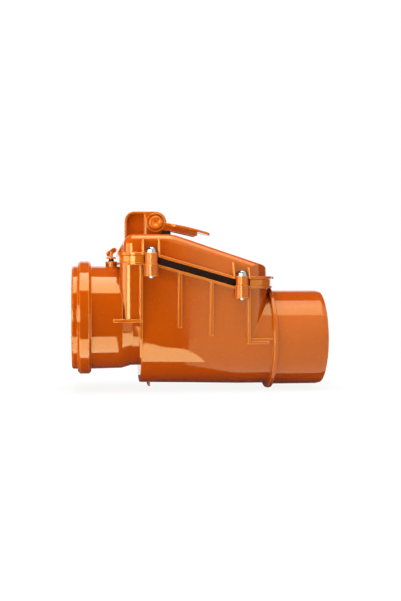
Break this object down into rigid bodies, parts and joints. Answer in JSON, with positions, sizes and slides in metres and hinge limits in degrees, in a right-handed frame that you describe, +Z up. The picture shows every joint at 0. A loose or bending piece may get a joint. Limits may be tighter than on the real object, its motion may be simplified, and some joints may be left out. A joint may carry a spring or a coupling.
{
  "type": "backwater valve",
  "caption": "Inline drain backwater valve: chamber with pipe socket and spigot, bolted inspection cover, hinged flap, cam lever that locks the flap shut, and a test plug.",
  "frame": {"origin": "on the outlet pipe's axis, 57 mm inside the end of the outlet spigot", "axes": "+X along the flow, out of the outlet spigot; +Z up, towards the cover; +Y away from the side shown"},
  "size_m": [0.2893, 0.1426, 0.2059],
  "materials": {
    "orange_plastic": "glossy moulded plastic",
    "black_rubber": "matt rubber",
    "zinc_steel": "zinc plated",
    "stainless_steel": "bright",
    "brass": "turned",
    "grey_plastic": "satin moulded plastic"
  },
  "bodies": {
    "valve_body": {"housing": "orange_plastic", "cover": "orange_plastic", "cover_gasket": "black_rubber", "cover_bolts": "zinc_steel", "bolt_washers": "zinc_steel", "threaded_inserts": "brass", "lever_bumper": "black_rubber", "return_spring": "stainless_steel", "rod_seal": "black_rubber", "rod_bush": "grey_plastic", "seat_gasket": "black_rubber", "seat_ring": "grey_plastic", "seat_ring_screws": "stainless_steel", "hinge_pin": "stainless_steel", "hinge_clips": "stainless_steel", "socket_seal": "black_rubber"},
    "flap_unit": {"flap": "orange_plastic", "flap_seal": "black_rubber", "flap_clamp_disc": "grey_plastic", "flap_screws": "stainless_steel"},
    "lever_unit": {"lock_lever": "orange_plastic", "lever_pin": "orange_plastic", "pin_clip": "zinc_steel", "lever_cam": "orange_plastic"},
    "rod_unit": {"push_rod": "stainless_steel", "rod_tip": "black_rubber"},
    "plug_unit": {"test_plug": "orange_plastic", "test_plug_seal": "black_rubber"}
  },
  "joints": [
    {"name": "flap_swing", "type": "hinge", "parent": "valve_body", "child": "flap_unit", "pos_m": [-0.147, 0, 0.0788], "axis": [0, -1, 0], "range_deg": [0, 75]},
    {"name": "lever_turn", "type": "hinge", "parent": "valve_body", "child": "lever_unit", "pos_m": [-0.1365, 0, 0.1335], "axis": [0, -1, 0], "range_deg": [0, 120]},
    {"name": "rod_press", "type": "slide", "parent": "valve_body", "child": "rod_unit", "axis": [0, 0, -1], "range_m": [0, 0.006], "deforming": ["return_spring"]},
    {"name": "plug_pull", "type": "slide", "parent": "valve_body", "child": "plug_unit", "axis": [0, 0, 1], "range_m": [0, 0.018]}
  ],
  "couplings": [
    {"joint": "rod_press", "follows": "lever_turn", "m_per_rad": 0.0028648}
  ]
}
